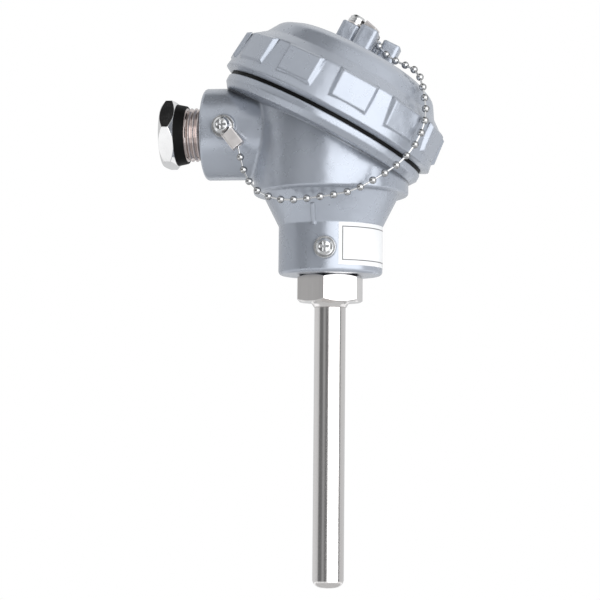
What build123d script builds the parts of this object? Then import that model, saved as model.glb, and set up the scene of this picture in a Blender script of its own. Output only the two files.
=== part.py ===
from build123d import *
import math
import os

# Thermocouple with a die-cast connection head. Millimetres, +Z up.
# The origin is on the axis of the stem, where the bare tube ends under the stem
# fitting. The stem points down along -Z, the cable boss points along -X, and the
# screw cap leans towards +X. Heights below are counted from the underside of the
# hexagon, and every piece is lifted by taper_drop when it is written out.

# Protection tube
tube_radius = 6.0
tube_wall = 1.0
tube_reach = 108.3
tube_end_wall = 2.0
tube_end_round = 3.0
tube_spigot_radius = 5.5

# Stem fitting: hexagon, threaded stub above it, weld taper below it
hex_flats = 23.0
hex_height = 10.3
hex_turn = 25.1
hex_corner_cut = 0.9
stub_radius = 9.95
stub_length = 13.5
stub_bore = 4.5
tube_seat = 18.0
taper_radius = 7.9
taper_drop = 1.9

# Connection head
neck_radius = 20.0
neck_round = 1.6
cone_foot = 29.0
cone_top_radius = 26.2
belly_radius = 29.8
belly_foot = 41.2
belly_round = 1.0
head_wall = 3.5
chamber_floor = 44.5
throat_radius = 11.0

# Tilted cap plane: its centre is the middle of the gasket
cap_x = -2.45
cap_z = 69.15
cap_tilt = 27.67
gasket_radius = 41.0
gasket_thick = 1.3
flange_radius = 41.6
flange_edge = 2.6
flange_depth = 5.6
flange_under_radius = 39.9
flange_round = 0.5
spigot_radius = 37.0
spigot_wall = 3.5
spigot_height = 9.5

# Screw cap
cap_rim_radius = 44.1
cap_rim_height = 2.0
cap_foot_radius = 41.6
cap_band_radius = 41.8
cap_band_height = 16.4
dome_foot_radius = 36.8
dome_foot_height = 20.4
dome_side_radius = 33.2
dome_side_height = 26.2
dome_top_radius = 27.6
cap_height = 28.8
dome_top_round = 3.0
dome_side_round = 6.0
dome_foot_round = 2.0
band_round = 1.6
cap_wall = 3.2
cap_thread_clearance = 0.3
cap_thread_depth = 12.0
cap_thread_step = 2.4
cap_thread_bevel = 1.5

# Grip pads round the cap
pad_count = 12
pad_width = 13.4
pad_foot_height = 5.9
pad_head_height = 15.6
pad_foot_radius = 44.1
pad_head_radius = 43.2
pad_bevel = 1.2
pad_root = 1.7

# Four lugs of the key cross on top of the cap
lug_count = 4
lug_inner = 5.3
lug_outer = 12.5
lug_width = 7.2
lug_height = 10.5
lug_bevel = 0.4
lug_round = 1.4

# Cable boss and the gland screw in it
boss_z = 65.6
boss_radius = 17.8
boss_end = 49.0
boss_round = 1.3
gland_thread_radius = 10.45
gland_thread_pitch = 1.814
gland_thread_cut = 0.75
gland_bore = 6.2
gland_flats = 24.4
gland_hex_length = 5.7
gland_hex_turn = -26.3
gland_corner_cut = 1.6
gland_mouth = 1.2
gland_ring_radius = 12.0
gland_ring_end_radius = 11.2
gland_ring_width = 3.8
gland_show = 7.3
gland_engaged = 8.0
gland_turns_in = 3.5
gland_socket_depth = 21.0
cable_way = 6.5
seal_radius = 10.2
seal_bore = 5.0
thrust_washer_width = 1.0
thrust_gap = 0.3

# Fasteners and their clearances
screw_clearance = 0.05
washer_clearance = 0.2
seat_gap = 0.05
m4_radius = 1.95
m4_head_radius = 3.1
m4_head_height = 2.3
m4_depth = 7.0
m4_shank = 6.0
m3_radius = 1.45
m3_head_radius = 2.7
m3_head_height = 1.9
washer_thick = 0.8
lock_washer_thick = 1.0
lock_washer_radius = 3.3
wide_washer_radius = 4.3

# Screw that holds the lower end of the chain, on the side of the cable boss
boss_screw_x = -39.3
boss_pad_radius = 4.7
boss_pad_height = 0.6

# Earthing screw on the neck
neck_screw_z = 19.4
neck_pad_radius = 4.3
neck_pad_height = 0.4

# Short casting rib above the neck
rib_x = -4.4
rib_width = 1.5
rib_height = 0.7
rib_low = 28.0
rib_high = 35.5

# Screw on the uphill lug that holds the upper end of the chain
cap_screw_u = -7.9

# Chain couplings
clasp_width = 5.3
clasp_plate = 0.8
clasp_tab = 3.2
clasp_fold = 3.6
lower_clasp_length = 10.3
upper_clasp_length = 8.6
clasp_depth = 3.7
clasp_sheet = 0.4
clasp_slot = 2.4
clasp_ball_play = 0.06
lower_clasp_angle = -51.3
lower_ball_side = 0.75
upper_clasp_swing = 12.0
upper_clasp_bend = 16.0
upper_ball_side = 0.6

# Bead chain
bead_radius = 1.38
bead_hole = 0.48
bead_hole_depth = 0.75
link_radius = 0.38
link_play = 0.12
visible_beads = 29
chain_route = [
    (-32.0, -21.6, 53.2),
    (-30.7, -22.2, 48.6),
    (-28.5, -23.0, 44.1),
    (-25.4, -24.0, 40.5),
    (-21.5, -25.1, 38.2),
    (-17.0, -26.2, 36.7),
    (-8.1, -28.1, 36.4),
    (1.6, -29.5, 37.4),
    (11.3, -30.1, 39.3),
    (20.3, -30.0, 43.9),
    (28.4, -29.6, 49.5),
    (34.3, -28.7, 57.0),
    (37.3, -26.2, 66.2),
    (36.6, -21.6, 76.1),
    (33.6, -15.9, 85.6),
    (24.9, -9.4, 91.6),
    (18.5, -5.6, 98.3),
    (17.4, -3.0, 102.1),
]

# Terminal block on the floor of the head
block_radius = 24.5
block_height = 9.0
block_hole = 5.0
block_flat = 1.5
block_screw_place = 18.5
block_screw_seat = 5.0
block_screw_length = 12.0
block_head_room = 0.6
post_radius = 3.8
terminal_spacing = 9.0
terminal_width = 6.5
terminal_length = 20.0
terminal_height = 6.0
terminal_screw_place = 6.5

# Sensing element: two wires, ceramic insulators and the welded junction
wire_radius = 0.4
wire_spacing = 1.3
wire_bend = 2.0
wire_weld_gap = 0.01
wire_hole_play = 0.15
wire_hole_height = 2.2
insulator_radius = 3.4
insulator_bore = 0.6
insulator_length = 19.6
insulator_gap = 0.3
insulator_count = 6
junction_radius = 1.9
junction_gap = 0.05

neck_foot = hex_height
stub_top = hex_height + stub_length
socket_radius = stub_radius + screw_clearance
gasket_half = gasket_thick / 2
spigot_top = spigot_height + gasket_half
spigot_bore = spigot_radius - spigot_wall
block_tap_floor = chamber_floor + block_screw_seat - block_screw_length - 2
chamber_radius = belly_radius - head_wall
cap_thread_radius = spigot_radius + cap_thread_clearance
boss_face_y = -boss_radius - boss_pad_height
neck_face_y = -neck_radius - neck_pad_height
lug_top = cap_height + lug_height
beyond = 5 * flange_radius

tilt = math.radians(cap_tilt)
cap_plane = Plane(
    origin=(cap_x, 0, cap_z),
    x_dir=(math.cos(tilt), 0, -math.sin(tilt)),
    z_dir=(math.sin(tilt), 0, math.cos(tilt)),
)
# The cable boss in its own frame: Z runs outwards along -X, X runs up
boss_plane = Plane(origin=(0, 0, boss_z), x_dir=(0, 0, 1), z_dir=(-1, 0, 0))


def turned(points, rounds=()):
    """Solid of revolution about Z from (radius, height) points, some of them rounded."""
    face = make_face(Polyline(*points, close=True))
    for corner, radius in rounds:
        vertex = face.vertices().sort_by_distance((corner[0], corner[1], 0))[0]
        face = fillet(vertex, radius)
    return revolve(Plane.XZ * face, Axis.Z)


def rod(radius, low, high):
    """Round bar about Z between two heights."""
    return Pos(0, 0, low) * Cylinder(radius, high - low, align=(Align.CENTER, Align.CENTER, Align.MIN))


def ring(outer, inner, low, high):
    return rod(outer, low, high) - rod(inner, low - 1, high + 1)


def hexagon_bar(flats, low, high, corner_cut):
    """Hexagon bar whose corners are turned off at both ends."""
    corner_radius = flats / math.sqrt(3)
    height = high - low
    bar = Pos(0, 0, low) * extrude(RegularPolygon(corner_radius, 6), height)
    reach = corner_radius + 0.1
    flat_radius = flats / 2
    slope = corner_cut / (corner_radius - flat_radius)
    drop = (reach - flat_radius) * slope
    limit = turned(
        [
            (0, low),
            (flat_radius, low),
            (reach, low + drop),
            (reach, high - drop),
            (flat_radius, high),
            (0, high),
        ]
    )
    return bar & limit


def pan_screw(shank_radius, head_radius, head_height, length):
    """Cross-recessed pan-head screw: the seat of the head is at Z 0, the shank runs down."""
    crown = turned(
        [
            (0, 0),
            (head_radius, 0),
            (head_radius, head_height * 0.45),
            (head_radius * 0.72, head_height * 0.9),
            (0, head_height),
        ]
    )
    screw = crown + rod(shank_radius, -length, 0)
    slot = Pos(0, 0, head_height) * Box(head_radius * 1.15, head_radius * 0.3, head_height * 1.1)
    return screw - slot - Rot(0, 0, 90) * slot


def split_washer(outer, inner, thick):
    """Spring washer with its cut."""
    return ring(outer, inner, 0, thick) - Pos(outer, 0, thick / 2) * Box(2 * outer, 0.7, 2 * thick)


def pad_plane(angle):
    """Plane of one grip pad's face, leaning with the band of the cap."""
    turn = math.radians(angle)
    rise = pad_head_height - pad_foot_height
    lean = math.atan2(pad_foot_radius - pad_head_radius, rise)
    middle = (pad_foot_radius + pad_head_radius) / 2
    out = (math.cos(turn) * math.cos(lean), math.sin(turn) * math.cos(lean), math.sin(lean))
    place = (middle * math.cos(turn), middle * math.sin(turn), (pad_foot_height + pad_head_height) / 2)
    return Plane(origin=place, x_dir=(-math.sin(turn), math.cos(turn), 0), z_dir=out)


def grip_pad(angle):
    rise = pad_head_height - pad_foot_height
    face = pad_plane(angle)
    root = face.offset(-pad_root)
    outer = face * Rectangle(pad_width, rise)
    inner = root * Rectangle(pad_width + 2 * pad_bevel, rise + 2 * pad_bevel)
    return loft([inner, outer])


def key_lug(angle):
    depth = lug_outer - lug_inner
    block = Box(depth, lug_width, lug_height + 1, align=(Align.MIN, Align.CENTER, Align.MIN))
    block = fillet(block.edges().filter_by(Axis.Z), lug_round)
    block = chamfer(block.faces().sort_by(Axis.Z)[-1].edges(), lug_bevel)
    return Rot(0, 0, angle) * Pos(lug_inner, 0, cap_height - 1) * block


def screw_cap():
    """Cap in its own frame: Z 0 is the middle of the gasket, X points downhill."""
    inner_band = cap_band_radius - cap_wall
    outside = turned(
        [
            (0, gasket_half),
            (cap_foot_radius, gasket_half),
            (cap_rim_radius, cap_rim_height),
            (cap_band_radius, cap_band_height),
            (dome_foot_radius, dome_foot_height),
            (dome_side_radius, dome_side_height),
            (dome_top_radius, cap_height),
            (0, cap_height),
        ],
        [
            ((dome_top_radius, cap_height), dome_top_round),
            ((dome_side_radius, dome_side_height), dome_side_round),
            ((dome_foot_radius, dome_foot_height), dome_foot_round),
            ((cap_band_radius, cap_band_height), band_round),
        ],
    )
    inside = turned(
        [
            (0, 0),
            (cap_thread_radius, 0),
            (cap_thread_radius, cap_thread_depth),
            (inner_band - cap_thread_step, cap_thread_depth + cap_thread_bevel),
            (inner_band - cap_thread_step, cap_band_height),
            (dome_foot_radius - cap_wall - 0.6, dome_foot_height - 1.2),
            (dome_side_radius - cap_wall - 0.6, dome_side_height - 1.4),
            (dome_top_radius - cap_wall, cap_height - cap_wall),
            (0, cap_height - cap_wall),
        ]
    )
    cap = outside
    for index in range(pad_count):
        cap += grip_pad((index + 0.5) * 360 / pad_count)
    cap -= inside
    for index in range(lug_count):
        cap += key_lug(index * 360 / lug_count)
    cap -= Pos(cap_screw_u, 0, 0) * rod(m4_radius + screw_clearance, lug_top - m4_depth, lug_top + 1)
    return cap_plane * cap


def cap_gasket():
    return cap_plane * ring(gasket_radius, cap_thread_radius, seat_gap - gasket_half, gasket_half - seat_gap)


def neck_and_cone(growth):
    """Neck and cone of the head, grown or shrunk all round by growth."""
    return turned(
        [
            (0, neck_foot),
            (neck_radius + growth, neck_foot),
            (neck_radius + growth, cone_foot),
            (cone_top_radius + growth, belly_foot),
            (cone_top_radius + growth, chamber_floor),
            (0, chamber_floor),
        ],
        [((neck_radius + growth, neck_foot), neck_round)],
    )


def casting_rib():
    height = rib_high - rib_low
    bar = Pos(rib_x, 0, rib_low) * Box(rib_width, 2 * belly_radius, height, align=(Align.CENTER, Align.MAX, Align.MIN))
    return bar & (neck_and_cone(rib_height) - rod(neck_radius - 2, 0, belly_foot))


def head_outside():
    neck = neck_and_cone(0) + casting_rib()
    belly = turned(
        [(0, belly_foot), (belly_radius, belly_foot), (belly_radius, beyond), (0, beyond)],
        [((belly_radius, belly_foot), belly_round)],
    )
    # The belly stops at the tilted flange
    below_flange = cap_plane * rod(beyond, -beyond, -flange_depth + flange_round)
    belly = belly & below_flange
    boss = turned(
        [(0, 15), (boss_radius, 15), (boss_radius, boss_end), (0, boss_end)],
        [((boss_radius, boss_end), boss_round)],
    )
    flange = turned(
        [
            (0, -flange_depth),
            (flange_under_radius, -flange_depth),
            (flange_radius, -flange_edge - gasket_half),
            (flange_radius, -gasket_half),
            (0, -gasket_half),
        ],
        [((flange_radius, -gasket_half), flange_round), ((flange_under_radius, -flange_depth), flange_round)],
    )
    spigot = rod(spigot_radius, -gasket_half, spigot_top)
    return neck + belly + boss_plane * boss + cap_plane * (flange + spigot)


def head_hollow():
    """Terminal chamber, throat above the stem thread, stem thread and cable socket."""
    above_floor = cap_plane * rod(beyond, -beyond, spigot_top + 1)
    chamber = rod(chamber_radius, chamber_floor, beyond) & above_floor
    mouth = cap_plane * rod(spigot_bore, -flange_depth + head_wall - flange_round, spigot_top + 1)
    throat = turned(
        [
            (0, stub_top),
            (throat_radius, stub_top),
            (cone_top_radius - head_wall, belly_foot),
            (cone_top_radius - head_wall, chamber_floor + 1),
            (0, chamber_floor + 1),
        ]
    )
    stem_thread = rod(socket_radius, neck_foot - 1, stub_top + 1)
    gland_thread = rod(gland_thread_radius + screw_clearance, boss_end - gland_socket_depth, boss_end + 1)
    cable_hole = rod(cable_way, 0, boss_end)
    return chamber + mouth + throat + stem_thread + boss_plane * (gland_thread + cable_hole)


def side_pad(x, z, face_y, radius, depth):
    """Round cast pad whose flat face looks along -Y."""
    return Pos(x, face_y, z) * Rot(90, 0, 0) * rod(radius, -depth, 0)


def side_hole(x, z, face_y, depth):
    return Pos(x, face_y, z) * Rot(90, 0, 0) * rod(m4_radius + screw_clearance, -depth, 1)


def block_post(side):
    """Cast post under one fixing screw of the terminal block."""
    post = Pos(0, side * block_screw_place, 0) * rod(post_radius, cone_foot - 4, chamber_floor)
    return post & neck_and_cone(-1)


def head_housing():
    housing = head_outside() - head_hollow()
    housing += side_pad(boss_screw_x, boss_z, boss_face_y, boss_pad_radius, 3)
    housing += side_pad(0, neck_screw_z, neck_face_y, neck_pad_radius, 3)
    for side in (-1, 1):
        housing += block_post(side)
        hole = Pos(0, side * block_screw_place, 0)
        housing -= hole * rod(m3_radius + screw_clearance, block_tap_floor, chamber_floor + 1)
    housing -= side_hole(boss_screw_x, boss_z, boss_face_y, m4_depth)
    housing -= side_hole(0, neck_screw_z, neck_face_y, m4_depth)
    return housing


def stem_fitting():
    """Hexagon with the threaded stub that screws into the neck and the taper on the tube."""
    hexagon = Rot(0, 0, hex_turn) * hexagon_bar(hex_flats, 0, hex_height, hex_corner_cut)
    stub = rod(stub_radius, hex_height, stub_top)
    stub = chamfer(stub.faces().sort_by(Axis.Z)[-1].edges(), 1.0)
    taper = turned(
        [(0, -taper_drop), (tube_radius + 0.25, -taper_drop), (taper_radius - 0.9, -0.7), (taper_radius, 0), (0, 0)]
    )
    fitting = hexagon + stub + taper
    fitting -= rod(tube_spigot_radius + screw_clearance, -taper_drop - 1, tube_seat)
    return fitting - rod(stub_bore, 0, stub_top + 1)


def protection_tube():
    bore = tube_radius - tube_wall
    foot = -tube_reach
    shoulder = -taper_drop
    shell = turned(
        [
            (0, foot),
            (tube_radius, foot),
            (tube_radius, shoulder),
            (tube_spigot_radius, shoulder),
            (tube_spigot_radius, tube_seat),
            (0, tube_seat),
        ],
        [((tube_radius, foot), tube_end_round)],
    )
    inside = turned(
        [(0, foot + tube_end_wall), (bore, foot + tube_end_wall), (bore, tube_seat + 1), (0, tube_seat + 1)],
        [((bore, foot + tube_end_wall), tube_end_round - tube_wall)],
    )
    return shell - inside


# Gland pieces, along the outward axis of the cable boss
ring_foot = boss_end + gland_show
hex_foot = ring_foot + gland_ring_width
gland_tip = boss_end - gland_engaged
socket_floor = boss_end - gland_socket_depth
thrust_top = gland_tip - gland_turns_in * gland_thread_pitch - thrust_gap
seal_top = thrust_top - thrust_washer_width


def thread_shank(low, high):
    """Shank with one ring groove per turn of the gland's thread."""
    root = gland_thread_radius - gland_thread_cut
    turns = int((high - low) / gland_thread_pitch)
    points = [(0, low)]
    for turn in range(turns):
        foot = low + turn * gland_thread_pitch
        points.append((root, foot))
        points.append((gland_thread_radius, foot + 0.42 * gland_thread_pitch))
        points.append((gland_thread_radius, foot + 0.58 * gland_thread_pitch))
    points.append((root, low + turns * gland_thread_pitch))
    points.append((root, high))
    points.append((0, high))
    return turned(points)


def gland_screw():
    end = hex_foot + gland_hex_length
    head = Rot(0, 0, gland_hex_turn) * hexagon_bar(gland_flats, hex_foot, end, gland_corner_cut)
    shank = thread_shank(gland_tip, ring_foot) + rod(gland_thread_radius, ring_foot, hex_foot)
    way = rod(gland_bore, gland_tip - 1, end + 1)
    mouth = turned(
        [
            (0, end - gland_mouth),
            (gland_bore, end - gland_mouth),
            (gland_bore + 2 * gland_mouth, end + gland_mouth),
            (0, end + gland_mouth),
        ]
    )
    return boss_plane * (head + shank - way - mouth)


def gland_ring():
    profile = turned(
        [
            (gland_thread_radius + screw_clearance, ring_foot),
            (gland_ring_end_radius, ring_foot),
            (gland_ring_radius, hex_foot),
            (gland_thread_radius + screw_clearance, hex_foot),
        ],
        [((gland_ring_end_radius, ring_foot), 0.4)],
    )
    return boss_plane * profile


def gland_washer():
    return boss_plane * ring(seal_radius, cable_way, seal_top, thrust_top)


def gland_seal():
    return boss_plane * ring(seal_radius, seal_bore, socket_floor, seal_top)


def chain_clasp(length, bend):
    """Chain coupling: eyelet tab under the screw at the origin, folded box along +X, seat at Z 0."""
    tab = rod(clasp_tab, 0, clasp_plate)
    tab += Box(clasp_fold + 0.5, clasp_width, clasp_plate, align=(Align.MIN, Align.CENTER, Align.MIN))
    box_length = length - clasp_fold
    box = Box(box_length, clasp_width, clasp_depth, align=(Align.MIN, Align.CENTER, Align.MIN))
    box = fillet(box.edges().filter_by(Axis.X), 0.6)
    room = Pos(-1, 0, clasp_sheet) * Box(
        box_length + 1 - clasp_sheet,
        clasp_width - 2 * clasp_sheet,
        clasp_depth - 2 * clasp_sheet,
        align=(Align.MIN, Align.CENTER, Align.MIN),
    )
    slot = Pos(box_length, 0, clasp_depth / 2) * Box(3, clasp_slot, clasp_slot)
    hole = rod(m4_radius + washer_clearance, -1, 2)
    return tab + Pos(clasp_fold, 0, 0) * Rot(0, bend, 0) * (box - room - slot) - hole


def boss_side(x, z, face_y):
    """Frame on a pad of the head: X along the part's X, Z out of the pad along -Y."""
    return Pos(x, face_y, z) * Rot(90, 0, 0)


boss_pad_frame = boss_side(boss_screw_x, boss_z, boss_face_y)
neck_pad_frame = boss_side(0, neck_screw_z, neck_face_y)
lower_clasp_seat = washer_thick
lower_lock_seat = lower_clasp_seat + clasp_plate
lower_head_seat = lower_lock_seat + lock_washer_thick
lug_frame = cap_plane * Pos(cap_screw_u, 0, lug_top)
upper_lock_seat = clasp_plate
upper_head_seat = upper_lock_seat + lock_washer_thick


lower_clasp_frame = boss_pad_frame * Pos(0, 0, lower_clasp_seat) * Rot(0, 0, lower_clasp_angle)
upper_clasp_frame = lug_frame * Rot(0, 0, -upper_clasp_swing)


def lower_clasp():
    return lower_clasp_frame * chain_clasp(lower_clasp_length, 0)


def upper_clasp():
    return upper_clasp_frame * chain_clasp(upper_clasp_length, upper_clasp_bend)


def clasp_ball(frame, length, bend, side):
    """Centre of the end ball that is held in a clasp, in the part's frame."""
    reach = length - clasp_fold - clasp_sheet - bead_radius - clasp_ball_play
    place = frame * Pos(clasp_fold, 0, 0) * Rot(0, bend, 0) * Pos(reach, side, clasp_depth / 2)
    return place.position


lower_ball = clasp_ball(lower_clasp_frame, lower_clasp_length, 0, lower_ball_side)
upper_ball = clasp_ball(upper_clasp_frame, upper_clasp_length, upper_clasp_bend, upper_ball_side)


def bead_places():
    """Ball centres: one held in each clasp, the others evenly spaced on the route."""
    route = Spline(*[Vector(*point) for point in chain_route])
    places = [lower_ball]
    for index in range(visible_beads):
        distance = index * route.length / (visible_beads - 1)
        places.append(route.position_at(distance, position_mode=PositionMode.LENGTH))
    places.append(upper_ball)
    return places


def along(start, end, low, high, radius):
    """Round bar on the line from start to end, between two distances from start."""
    frame = Plane(origin=start, z_dir=end - start)
    return frame * rod(radius, low, high)


def chain_beads(places):
    beads = []
    centre = Vector(0, 0, 0)
    for index, place in enumerate(places):
        holes = []
        for other in places[max(index - 1, 0) : index] + places[index + 1 : index + 2]:
            holes.append(along(centre, other - place, bead_radius - bead_hole_depth, bead_radius + 1, bead_hole))
        bead = Rot(90, 0, 0) * Sphere(bead_radius) - holes
        beads.append(Pos(place) * bead)
    return beads


def chain_links(places):
    links = []
    inset = bead_radius - bead_hole_depth + link_play
    for start, end in zip(places[:-1], places[1:]):
        links.append(along(start, end, inset, (end - start).length - inset, link_radius))
    return links


def terminal_block():
    """Ceramic block that stands on the ledge round the chamber floor."""
    foot = chamber_floor
    top = foot + block_height
    block = rod(block_radius, foot, top) - rod(block_hole, foot - 1, top + 1)
    for side in (-1, 1):
        block -= Pos(side * (block_radius + block_flat), 0, foot) * Box(4 * block_flat, 2 * block_radius, 3 * block_height)
        place = Pos(0, side * block_screw_place, 0)
        block -= place * rod(m3_radius + washer_clearance, foot - 1, top + 1)
        block -= place * rod(m3_head_radius + block_head_room, foot + block_screw_seat, top + 1)
    return block


def terminal(side):
    """Brass bar with two cross holes for the wires and two tapped screw holes."""
    foot = chamber_floor + block_height
    bar = Pos(side * terminal_spacing, 0, foot) * Box(
        terminal_width, terminal_length, terminal_height, align=(Align.CENTER, Align.CENTER, Align.MIN)
    )
    for end in (-1, 1):
        place = Pos(side * terminal_spacing, end * terminal_screw_place, 0)
        bar -= place * rod(m3_radius + screw_clearance, foot + 2, foot + terminal_height + 1)
        wire_hole = Rot(0, 90, 0) * rod(wire_radius + wire_hole_play, -terminal_width, terminal_width)
        bar -= place * Pos(0, 0, foot + wire_hole_height) * wire_hole
    return bar


def terminal_screws():
    seat = chamber_floor + block_height + terminal_height
    length = terminal_height - wire_hole_height - wire_radius - wire_hole_play
    screws = []
    for side in (-1, 1):
        for end in (-1, 1):
            place = Pos(side * terminal_spacing, end * terminal_screw_place, seat)
            screws.append(place * pan_screw(m3_radius, m3_head_radius, m3_head_height, length))
    return screws


def block_screws():
    seat = chamber_floor + block_screw_seat
    screws = []
    for side in (-1, 1):
        place = Pos(0, side * block_screw_place, seat)
        screws.append(place * pan_screw(m3_radius, m3_head_radius, m3_head_height, block_screw_length))
    return screws


insulator_foot = -tube_reach + tube_end_wall + 2 * junction_radius + insulator_gap
junction_z = -tube_reach + tube_end_wall + junction_radius + junction_gap


def insulators():
    beads = []
    for index in range(insulator_count):
        foot = insulator_foot + index * (insulator_length + insulator_gap / 3)
        bead = rod(insulator_radius, foot, foot + insulator_length)
        for side in (-1, 1):
            bead -= Pos(side * wire_spacing, 0, 0) * rod(insulator_bore, foot - 1, foot + insulator_length + 1)
        beads.append(bead)
    return beads


def thermo_wire(side):
    """Wire from the junction up through the insulators to the inner hole of its terminal."""
    hole_z = chamber_floor + block_height + wire_hole_height
    tip = side * (terminal_spacing + 1)
    points = [
        (side * wire_spacing, 0, junction_z),
        (side * wire_spacing, 0, hole_z - 4),
        (side * wire_spacing, -terminal_screw_place, hole_z),
        (tip, -terminal_screw_place, hole_z),
    ]
    path = FilletPolyline(*points, radius=wire_bend)
    start = Plane(origin=points[0], z_dir=(0, 0, 1))
    return sweep(start * Circle(wire_radius), path=path)


def hot_junction():
    ball = Pos(0, 0, junction_z) * Sphere(junction_radius)
    for side in (-1, 1):
        ball -= Pos(side * wire_spacing, 0, 0) * rod(wire_radius + wire_weld_gap, junction_z, junction_z + 2 * junction_radius)
    return ball


m4_screw = pan_screw(m4_radius, m4_head_radius, m4_head_height, m4_shank)
chain = bead_places()

parts = {
    "head_housing": head_housing(),
    "screw_cap": screw_cap(),
    "cap_gasket": cap_gasket(),
    "stem_fitting": stem_fitting(),
    "protection_tube": protection_tube(),
    "gland_screw": gland_screw(),
    "gland_ring": gland_ring(),
    "gland_washer": gland_washer(),
    "gland_seal": gland_seal(),
    "boss_washer": boss_pad_frame * ring(wide_washer_radius, m4_radius + washer_clearance, 0, washer_thick),
    "lower_clasp": lower_clasp(),
    "boss_lock_washer": boss_pad_frame
    * Pos(0, 0, lower_lock_seat)
    * split_washer(lock_washer_radius, m4_radius + washer_clearance, lock_washer_thick),
    "boss_screw": boss_pad_frame * Pos(0, 0, lower_head_seat) * m4_screw,
    "neck_washer": neck_pad_frame * ring(neck_pad_radius - 0.2, m4_radius + washer_clearance, 0, washer_thick),
    "neck_screw": neck_pad_frame * Pos(0, 0, washer_thick) * m4_screw,
    "upper_clasp": upper_clasp(),
    "cap_lock_washer": lug_frame
    * Pos(0, 0, upper_lock_seat)
    * split_washer(lock_washer_radius, m4_radius + washer_clearance, lock_washer_thick),
    "cap_screw": lug_frame * Pos(0, 0, upper_head_seat) * m4_screw,
    "chain_beads": chain_beads(chain),
    "chain_links": chain_links(chain),
    "terminal_block": terminal_block(),
    "terminal_positive": terminal(1),
    "terminal_negative": terminal(-1),
    "terminal_screws": terminal_screws(),
    "block_screws": block_screws(),
    "insulators": insulators(),
    "wire_positive": thermo_wire(1),
    "wire_negative": thermo_wire(-1),
    "hot_junction": hot_junction(),
}

os.makedirs("parts", exist_ok=True)
lift = Pos(0, 0, taper_drop)
for name, shape in parts.items():
    if isinstance(shape, list):
        shape = Compound(children=[lift * piece for piece in shape])
    else:
        shape = lift * shape
    export_step(shape, f"parts/{name}.step")
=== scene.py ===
import math

import bpy
from mathutils import Matrix, Vector


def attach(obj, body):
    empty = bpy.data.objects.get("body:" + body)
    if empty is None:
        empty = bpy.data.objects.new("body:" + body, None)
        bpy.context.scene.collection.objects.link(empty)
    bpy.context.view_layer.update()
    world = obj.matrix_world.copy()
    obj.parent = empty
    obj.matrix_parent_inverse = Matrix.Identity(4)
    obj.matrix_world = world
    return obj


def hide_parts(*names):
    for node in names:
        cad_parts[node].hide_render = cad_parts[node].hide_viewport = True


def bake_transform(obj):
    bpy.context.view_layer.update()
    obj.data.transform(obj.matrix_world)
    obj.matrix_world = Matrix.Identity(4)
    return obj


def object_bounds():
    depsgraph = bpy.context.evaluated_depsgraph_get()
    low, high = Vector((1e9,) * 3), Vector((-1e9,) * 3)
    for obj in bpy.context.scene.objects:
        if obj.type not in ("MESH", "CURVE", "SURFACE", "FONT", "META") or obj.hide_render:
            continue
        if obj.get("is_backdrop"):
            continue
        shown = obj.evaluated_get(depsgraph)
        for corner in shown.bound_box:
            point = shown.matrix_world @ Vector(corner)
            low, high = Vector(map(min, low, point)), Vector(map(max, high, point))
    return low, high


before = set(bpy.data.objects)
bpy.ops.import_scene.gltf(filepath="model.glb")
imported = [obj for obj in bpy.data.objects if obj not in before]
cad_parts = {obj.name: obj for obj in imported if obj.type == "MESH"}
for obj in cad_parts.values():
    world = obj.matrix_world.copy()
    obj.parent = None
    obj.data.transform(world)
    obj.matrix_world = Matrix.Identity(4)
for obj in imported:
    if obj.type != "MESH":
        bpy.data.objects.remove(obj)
bounds_at_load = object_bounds()

# Sizes of the visual pieces, in metres, in the part's frame
MM = 0.001
FRAME_LIFT = 1.9 * MM
NECK_RADIUS = 20.0 * MM
BELLY_RADIUS = 29.8 * MM
BOSS_RADIUS = 17.8 * MM
BOSS_HEIGHT = 67.5 * MM
GLAND_THREAD_START = -57.0 * MM

# Mix node sockets of the colour kind
FACTOR, UNDER, OVER = 0, 6, 7
MIXED = 2


def add_node(tree, kind, inputs=None, **settings):
    """A new node with its settings and the values of its sockets."""
    node = tree.nodes.new(kind)
    for name, value in settings.items():
        setattr(node, name, value)
    for socket, value in (inputs or {}).items():
        node.inputs[socket].default_value = value
    return node


def grey(value):
    return (value, value, value, 1.0)


# Materials
def position_noise(tree, scale, detail=3.0, stretch=(1, 1, 1)):
    """Noise in the object's own coordinates, so it moves with the piece."""
    coords = add_node(tree, "ShaderNodeTexCoord")
    mapping = add_node(tree, "ShaderNodeMapping", {"Scale": stretch})
    noise = add_node(tree, "ShaderNodeTexNoise", {"Scale": scale, "Detail": detail})
    tree.links.new(coords.outputs["Object"], mapping.inputs["Vector"])
    tree.links.new(mapping.outputs["Vector"], noise.inputs["Vector"])
    return noise.outputs["Fac"]


def ramp(tree, source, low, high, start=0.3, end=0.7):
    """A run of colour from low to high."""
    node = add_node(tree, "ShaderNodeValToRGB")
    first, last = node.color_ramp.elements
    first.position, first.color = start, low
    last.position, last.color = end, high
    tree.links.new(source, node.inputs["Fac"])
    return node.outputs["Color"]


def bump(tree, height, strength, distance, normal):
    """Bumps on top of the given normal, or on the plain surface."""
    node = add_node(tree, "ShaderNodeBump", {"Strength": strength, "Distance": distance})
    tree.links.new(height, node.inputs["Height"])
    if normal:
        tree.links.new(normal, node.inputs["Normal"])
    return node.outputs["Normal"]


def soft_edges(tree, radius):
    """Normal of edges and inner corners as a casting or a turned piece has them."""
    return add_node(tree, "ShaderNodeBevel", {"Radius": radius}, samples=8).outputs["Normal"]


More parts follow.
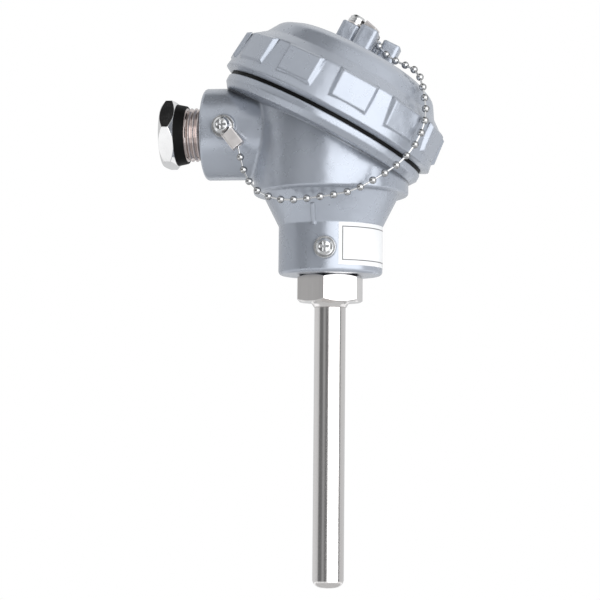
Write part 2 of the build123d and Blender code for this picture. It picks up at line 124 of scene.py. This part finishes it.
def paint_corner_shade(tree, shader, reach):
    """Painted shade: darker colour in narrow corners, where shadow falls."""
    colour = shader.inputs["Base Color"].links[0].from_socket
    near = add_node(tree, "ShaderNodeAmbientOcclusion", {"Distance": reach}, samples=16)
    shade = add_node(tree, "ShaderNodeMapRange", {"From Min": 0.2, "From Max": 0.75, "To Min": 0.35})
    mixed = add_node(tree, "ShaderNodeMix", data_type="RGBA", blend_type="MULTIPLY")
    mixed.inputs[FACTOR].default_value = 1.0
    tree.links.new(near.outputs["AO"], shade.inputs["Value"])
    tree.links.new(colour, mixed.inputs[UNDER])
    tree.links.new(shade.outputs["Result"], mixed.inputs[OVER])
    tree.links.new(mixed.outputs[MIXED], shader.inputs["Base Color"])


def tint_inwards(material, start, fade, colour):
    """Another colour from the place x = start on, towards the head."""
    tree = material.node_tree
    shader = tree.nodes["Principled BSDF"]
    plain_colour = shader.inputs["Base Color"].links[0].from_socket
    coords = add_node(tree, "ShaderNodeTexCoord")
    split = add_node(tree, "ShaderNodeSeparateXYZ")
    side = add_node(tree, "ShaderNodeMapRange", {"From Min": start, "From Max": start + fade})
    tint = add_node(tree, "ShaderNodeMix", data_type="RGBA")
    tint.inputs[OVER].default_value = colour
    tree.links.new(coords.outputs["Object"], split.inputs["Vector"])
    tree.links.new(split.outputs["X"], side.inputs["Value"])
    tree.links.new(side.outputs["Result"], tint.inputs[FACTOR])
    tree.links.new(plain_colour, tint.inputs[UNDER])
    tree.links.new(tint.outputs[MIXED], shader.inputs["Base Color"])


def surface(
    name, low, high, metallic, rough, scale, stretch=(1, 1, 1), grain=None, waves=None,
    coat=0.0, coat_rough=0.1, specular=0.5, rim=1.0, edges=0.0, corners=0.0,
):
    """A material with a slightly uneven colour and roughness.

    rough holds the smoothest and the roughest value. grain and waves hold scale, strength
    and depth of fine and of slow bumps. edges is the radius of softened edges, corners the
    reach of the painted shade that darkens the colour in corners, rim the grey of the reflection at
    a metal's outline.
    """
    material = bpy.data.materials.new(name)
    material.use_nodes = True
    tree = material.node_tree
    shader = tree.nodes["Principled BSDF"]
    patches = position_noise(tree, scale, 2.0, stretch)
    tree.links.new(ramp(tree, patches, low, high), shader.inputs["Base Color"])
    wear = position_noise(tree, scale * 3.1, 4.0, stretch)
    tree.links.new(ramp(tree, wear, grey(rough[0]), grey(rough[1])), shader.inputs["Roughness"])
    shader.inputs["Metallic"].default_value = metallic
    shader.inputs["Coat Weight"].default_value = coat
    shader.inputs["Coat Roughness"].default_value = coat_rough
    shader.inputs["Specular IOR Level"].default_value = specular
    shader.inputs["Specular Tint"].default_value = grey(rim)
    normal = soft_edges(tree, edges) if edges else None
    if waves:
        normal = bump(tree, position_noise(tree, waves[0], 1.0), waves[1], waves[2], normal)
    if normal:
        tree.links.new(normal, shader.inputs["Coat Normal"])
    if grain:
        normal = bump(tree, position_noise(tree, grain[0], 2.0, stretch), grain[1], grain[2], normal)
    if normal:
        tree.links.new(normal, shader.inputs["Normal"])
    # Painted shade: the base colour darkens in narrow corners by ambient occlusion
    if corners:
        paint_corner_shade(tree, shader, corners)
    return material


# The head paint carries painted shade in its corners (corners=...)
paint = surface(
    "head paint", (0.4, 0.43, 0.485, 1), (0.44, 0.47, 0.525, 1), 0.5, (0.24, 0.32), 40.0,
    grain=(1100.0, 0.1, 0.0002), waves=(160.0, 0.4, 0.0005), coat=0.3,
    edges=1.0 * MM, corners=3.5 * MM,
)
rubber = surface(
    "black rubber", grey(0.002), grey(0.005), 0.0, (0.45, 0.6), 80.0,
    grain=(2500.0, 0.15, 0.0001), specular=0.12,
)
seal_rubber = surface(
    "seal rubber", grey(0.03), grey(0.045), 0.0, (0.6, 0.75), 80.0, grain=(2500.0, 0.15, 0.0001),
)
chrome = surface(
    "plated brass", (0.78, 0.755, 0.735, 1), (0.86, 0.84, 0.82, 1), 1.0, (0.06, 0.13), 90.0,
    edges=0.35 * MM,
)
bead_chrome = surface("bead plating", grey(0.5), grey(0.58), 1.0, (0.04, 0.08), 300.0, rim=0.1)
link_wire = surface("link wire", grey(0.82), grey(0.9), 1.0, (0.12, 0.2), 300.0)
clasp_plate = surface(
    "clasp plating", (0.74, 0.7, 0.68, 1), (0.84, 0.8, 0.78, 1), 1.0, (0.3, 0.4), 220.0,
    edges=0.25 * MM,
)
zinc = surface("zinc steel", grey(0.66), grey(0.78), 1.0, (0.14, 0.24), 160.0, edges=0.25 * MM)
# The stainless tube carries painted shade in its corners (corners=...)
stainless = surface(
    "stainless tube", (0.8, 0.77, 0.75, 1), (0.88, 0.85, 0.83, 1), 1.0, (0.14, 0.22), 55.0,
    stretch=(1, 1, 0.15), grain=(900.0, 0.05, 0.0001), edges=0.4 * MM, corners=4 * MM,
)
ceramic = surface(
    "ceramic", (0.72, 0.69, 0.62, 1), (0.8, 0.77, 0.7, 1), 0.0, (0.5, 0.65), 120.0,
    grain=(1800.0, 0.2, 0.0001),
)
brass = surface(
    "brass", (0.68, 0.47, 0.18, 1), (0.78, 0.57, 0.25, 1), 1.0, (0.22, 0.34), 110.0,
)
wire_bright = surface(
    "positive wire", (0.5, 0.46, 0.42, 1), (0.6, 0.56, 0.51, 1), 1.0, (0.25, 0.4), 200.0,
)
wire_dull = surface(
    "negative wire", (0.36, 0.37, 0.38, 1), (0.45, 0.46, 0.47, 1), 1.0, (0.3, 0.45), 200.0,
)
label_white = surface("label film", grey(0.8), grey(0.84), 0.0, (0.35, 0.45), 90.0)
label_frame = surface("label frame", grey(0.1), grey(0.14), 0.0, (0.4, 0.5), 90.0)
gland_plate = surface(
    "gland plating", (0.8, 0.79, 0.78, 1), (0.88, 0.87, 0.86, 1), 1.0, (0.06, 0.13), 90.0,
    edges=0.35 * MM,
)
tint_inwards(gland_plate, GLAND_THREAD_START, 0.4 * MM, (0.62, 0.55, 0.53, 1))

FINISH = {
    "head_housing": paint,
    "screw_cap": paint,
    "cap_gasket": rubber,
    "stem_fitting": stainless,
    "protection_tube": stainless,
    "gland_screw": gland_plate,
    "gland_ring": rubber,
    "gland_washer": chrome,
    "gland_seal": seal_rubber,
    "boss_washer": zinc,
    "lower_clasp": clasp_plate,
    "boss_lock_washer": zinc,
    "boss_screw": zinc,
    "neck_washer": zinc,
    "neck_screw": zinc,
    "upper_clasp": clasp_plate,
    "cap_lock_washer": zinc,
    "cap_screw": zinc,
    "chain_beads": bead_chrome,
    "chain_links": link_wire,
    "terminal_block": ceramic,
    "terminal_positive": brass,
    "terminal_negative": brass,
    "terminal_screws": zinc,
    "block_screws": zinc,
    "insulators": ceramic,
    "wire_positive": wire_bright,
    "wire_negative": wire_dull,
    "hot_junction": wire_bright,
}
for node, material in FINISH.items():
    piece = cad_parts[node]
    piece.data.materials.clear()
    piece.data.materials.append(material)


# Pieces of the scene's own
def mesh_object(name, mesh, material, body):
    piece = bpy.data.objects.new(name, mesh)
    bpy.context.scene.collection.objects.link(piece)
    mesh.materials.append(material)
    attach(piece, body)
    return piece


def grid_mesh(name, rows):
    """Smooth mesh from rows of points."""
    mesh = bpy.data.meshes.new(name)
    count = len(rows[0])
    points = [point for row in rows for point in row]
    faces = []
    for r in range(len(rows) - 1):
        for c in range(count - 1):
            corner = r * count + c
            faces.append((corner, corner + 1, corner + count + 1, corner + count))
    mesh.from_pydata(points, [], faces)
    mesh.validate()
    for polygon in mesh.polygons:
        polygon.use_smooth = True
    return mesh


# Bare label round the right side of the neck, with a thin frame line
LABEL_LOW = 13.0 * MM + FRAME_LIFT
LABEL_HIGH = 29.0 * MM + FRAME_LIFT
LABEL_START = 14.5
LABEL_END = 112.0
LABEL_LIFT = 0.05 * MM
LABEL_STEPS = 48
LINE_LOW = LABEL_LOW + 1.7 * MM
LINE_HIGH = LABEL_HIGH - 1.5 * MM
LINE_START = LABEL_START + 4.0
LINE_END = LABEL_END - 4.0
LINE_WIDTH = 0.35 * MM
LINE_TURN = math.degrees(LINE_WIDTH / NECK_RADIUS)
LINE_LIFT = 0.07 * MM


def label_patch(name, low, high, start, end, lift, material):
    """Strip of film on the neck between two heights and two angles."""
    radius = NECK_RADIUS + lift
    rows = []
    for z in (low, high):
        row = []
        for step in range(LABEL_STEPS + 1):
            angle = math.radians(start + (end - start) * step / LABEL_STEPS)
            row.append((radius * math.sin(angle), -radius * math.cos(angle), z))
        rows.append(row)
    return mesh_object(name, grid_mesh(name, rows), material, "housing")


label_patch("label_film", LABEL_LOW, LABEL_HIGH, LABEL_START, LABEL_END, LABEL_LIFT, label_white)
for number, edges in enumerate((
    (LINE_LOW, LINE_LOW + LINE_WIDTH, LINE_START, LINE_END),
    (LINE_HIGH - LINE_WIDTH, LINE_HIGH, LINE_START, LINE_END),
    (LINE_LOW, LINE_HIGH, LINE_START, LINE_START + LINE_TURN),
    (LINE_LOW, LINE_HIGH, LINE_END - LINE_TURN, LINE_END),
)):
    label_patch(f"label_line_{number}", *edges, LINE_LIFT, label_frame)

# Bead chain: copies of the beads and of the links take the place of the imported pieces
for node in ("chain_beads", "chain_links"):
    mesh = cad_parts[node].data.copy()
    mesh.materials.clear()
    mesh.materials.append(FINISH[node])
    piece = bpy.data.objects.new(f"stretched_{node}", mesh)
    bpy.context.scene.collection.objects.link(piece)
    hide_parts(node)
    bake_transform(piece)

# Cast fillet where the cable boss runs into the belly: a ball rolls along the inner corner
FILLET_RADIUS = 2.2 * MM
FILLET_LIFT = 0.03 * MM
FILLET_FIRST = 50.0
FILLET_LAST = 310.0
FILLET_ROWS = 120
FILLET_STEPS = 8


def fillet_row(turn):
    """Points across the fillet, from the boss to the belly, at one place round the boss."""
    out = BOSS_RADIUS + FILLET_RADIUS
    side = -out * math.sin(turn)
    reach = math.sqrt((BELLY_RADIUS + FILLET_RADIUS) ** 2 - side ** 2)
    centre = Vector((-reach, side, BOSS_HEIGHT + out * math.cos(turn)))
    to_boss = Vector((0.0, math.sin(turn), -math.cos(turn)))
    to_belly = -Vector((centre.x, centre.y, 0.0)).normalized()
    return [
        centre + to_boss.slerp(to_belly, step / FILLET_STEPS) * (FILLET_RADIUS + FILLET_LIFT)
        for step in range(FILLET_STEPS + 1)
    ]


fillet_rows = [
    fillet_row(math.radians(FILLET_FIRST + (FILLET_LAST - FILLET_FIRST) * step / FILLET_ROWS))
    for step in range(FILLET_ROWS + 1)
]
mesh_object("boss_fillet", grid_mesh("boss_fillet", fillet_rows), paint, "housing")

# World: plain white for the camera, a studio for everything else
world = bpy.data.worlds.new("studio")
bpy.context.scene.world = world
world.use_nodes = True
tree = world.node_tree
tree.nodes.clear()


def shades(source, values):
    """Colour ramp from (place, grey value) pairs, very slightly blue."""
    node = add_node(tree, "ShaderNodeValToRGB")
    elements = node.color_ramp.elements
    elements[0].position = values[0][0]
    elements[1].position = values[-1][0]
    for place, value in values[1:-1]:
        elements.new(place)
    for element, (place, value) in zip(elements, values):
        element.position = place
        element.color = (value * 0.985, value, value * 1.02, 1)
    tree.links.new(source, node.inputs["Fac"])
    return node.outputs["Color"]


def between(source, low, high):
    """0 at low, 1 at high."""
    node = add_node(tree, "ShaderNodeMapRange", {"From Min": low, "From Max": high})
    tree.links.new(source, node.inputs["Value"])
    return node.outputs["Result"]


def calculate(operation, first, second):
    """One math operation on two values, of which the second may be a plain number."""
    node = add_node(tree, "ShaderNodeMath", operation=operation)
    tree.links.new(first, node.inputs[0])
    if isinstance(second, float):
        node.inputs[1].default_value = second
    else:
        tree.links.new(second, node.inputs[1])
    return node.outputs["Value"]


def laid_over(under, over, mask):
    """One colour over another where the mask is 1."""
    node = add_node(tree, "ShaderNodeMix", data_type="RGBA")
    tree.links.new(mask, node.inputs[FACTOR])
    tree.links.new(under, node.inputs[UNDER])
    if isinstance(over, tuple):
        node.inputs[OVER].default_value = over
    else:
        tree.links.new(over, node.inputs[OVER])
    return node.outputs[MIXED]


coords = add_node(tree, "ShaderNodeTexCoord")
split = add_node(tree, "ShaderNodeSeparateXYZ")
tree.links.new(coords.outputs["Generated"], split.inputs["Vector"])
to_right, to_back, to_top = (split.outputs[axis] for axis in "XYZ")
height = between(to_top, -1.0, 1.0)

# Walls by compass angle: 0.5 is towards the camera, above 0.5 is the right side
compass = calculate("ARCTAN2", to_right, calculate("MULTIPLY", to_back, -1.0))
room = shades(between(compass, -math.pi, math.pi), [
    (0.0, 0.68), (0.2, 0.68), (0.28, 0.6), (0.3, 0.15), (0.37, 0.15), (0.395, 0.36),
    (0.42, 0.34), (0.45, 0.12), (0.495, 0.26), (0.505, 2.6), (0.717, 2.6), (0.731, 0.2),
    (0.755, 0.2), (0.775, 0.6), (1.0, 0.68),
])
# Low, high and top parts, by height: 0 is straight down, 1 is straight up
room = laid_over(
    room,
    shades(height, [(0.0, 0.6), (0.15, 0.6), (0.165, 1.12), (1.0, 1.12)]),
    shades(height, [(0.0, 1.0), (0.31, 1.0), (0.34, 0.0), (1.0, 0.0)]),
)
room = laid_over(
    room, (0.8, 0.81, 0.82, 1), shades(height, [(0.0, 0.0), (0.68, 0.0), (0.8, 1.0), (1.0, 1.0)]),
)
room = laid_over(
    room,
    shades(between(to_right, -1.0, 1.0), [(0.0, 0.02), (0.53, 0.02), (0.64, 0.5), (1.0, 0.5)]),
    shades(height, [(0.0, 0.0), (0.93, 0.0), (0.97, 1.0), (1.0, 1.0)]),
)
# Dark low behind the object, so that round chrome keeps a dark lower rim
low_behind = calculate(
    "MULTIPLY",
    between(to_back, 0.35, 0.6),
    between(calculate("MULTIPLY", to_top, -1.0), 0.45, 0.7),
)
room = laid_over(room, (0.04, 0.042, 0.045, 1), low_behind)

backdrop = add_node(tree, "ShaderNodeBackground", {"Color": (1, 1, 1, 1)})
studio = add_node(tree, "ShaderNodeBackground", {"Strength": 1.0})
rays = add_node(tree, "ShaderNodeLightPath")
choice = add_node(tree, "ShaderNodeMixShader")
output = add_node(tree, "ShaderNodeOutputWorld")
tree.links.new(room, studio.inputs["Color"])
tree.links.new(rays.outputs["Is Camera Ray"], choice.inputs["Fac"])
tree.links.new(studio.outputs["Background"], choice.inputs[1])
tree.links.new(backdrop.outputs["Background"], choice.inputs[2])
tree.links.new(choice.outputs["Shader"], output.inputs["Surface"])

# Pale floor, plain white to the camera and open from below
FLOOR_HEIGHT = -0.3
FLOOR_RADIUS = 0.35
FLOOR_CORNERS = 64
floor_rim = []
for corner in range(FLOOR_CORNERS):
    angle = math.tau * corner / FLOOR_CORNERS
    floor_rim.append((FLOOR_RADIUS * math.cos(angle), FLOOR_RADIUS * math.sin(angle), FLOOR_HEIGHT))
floor_mesh = bpy.data.meshes.new("studio_floor")
floor_mesh.from_pydata(floor_rim, [], [tuple(range(FLOOR_CORNERS))])
floor = bpy.data.objects.new("studio_floor", floor_mesh)
bpy.context.scene.collection.objects.link(floor)
floor_material = bpy.data.materials.new("pale floor")
floor_material.use_nodes = True
floor_mesh.materials.append(floor_material)
tree = floor_material.node_tree
pale = tree.nodes["Principled BSDF"]
pale.inputs["Roughness"].default_value = 0.8
floor_tone = ramp(tree, position_noise(tree, 30.0), grey(0.78), grey(0.82))
rays = add_node(tree, "ShaderNodeLightPath")
facing = add_node(tree, "ShaderNodeNewGeometry")
white = add_node(tree, "ShaderNodeEmission")
clear = add_node(tree, "ShaderNodeBsdfTransparent")
seen = add_node(tree, "ShaderNodeMixShader")
choice = add_node(tree, "ShaderNodeMixShader")
tree.links.new(floor_tone, pale.inputs["Base Color"])
tree.links.new(facing.outputs["Backfacing"], seen.inputs[0])
tree.links.new(white.outputs["Emission"], seen.inputs[1])
tree.links.new(clear.outputs["BSDF"], seen.inputs[2])
tree.links.new(rays.outputs["Is Camera Ray"], choice.inputs[0])
tree.links.new(pale.outputs["BSDF"], choice.inputs[1])
tree.links.new(seen.outputs["Shader"], choice.inputs[2])
tree.links.new(choice.outputs["Shader"], tree.nodes["Material Output"].inputs["Surface"])
floor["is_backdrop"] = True

# Camera
AZIMUTH = math.radians(7.18)
ELEVATION = math.radians(-3.75)
ROLL = math.radians(-0.52)
CAMERA_DISTANCE = 576.4 * MM
TARGET_RIGHT = -11.57 * MM
TARGET_UP = 0.88 * MM + FRAME_LIFT
right = Vector((math.cos(AZIMUTH), math.sin(AZIMUTH), 0.0))
look = Vector((
    -math.sin(AZIMUTH) * math.cos(ELEVATION),
    math.cos(AZIMUTH) * math.cos(ELEVATION),
    -math.sin(ELEVATION),
))
up = right.cross(look)
rolled_right = right * math.cos(ROLL) - up * math.sin(ROLL)
rolled_up = right * math.sin(ROLL) + up * math.cos(ROLL)
target = right * TARGET_RIGHT + Vector((0, 0, TARGET_UP))
place = target - look * CAMERA_DISTANCE
camera_data = bpy.data.cameras.new("camera")
camera_data.lens = 90.0
camera_data.sensor_width = 36.0
camera_data.clip_start = 0.01
camera = bpy.data.objects.new("camera", camera_data)
bpy.context.scene.collection.objects.link(camera)
turn = Matrix((rolled_right, rolled_up, -look)).transposed().to_4x4()
camera.matrix_world = Matrix.Translation(place) @ turn
bpy.context.scene.camera = camera
bpy.context.scene.view_settings.view_transform = "Standard"

bounds_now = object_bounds()


def plain(value):
    if isinstance(value, dict):
        return {key: plain(item) for key, item in value.items()}
    if isinstance(value, (list, tuple)) or hasattr(value, "__len__") and not isinstance(value, str):
        return [plain(item) for item in value]
    return float(value)


plain(bounds_at_load)
plain(bounds_now)
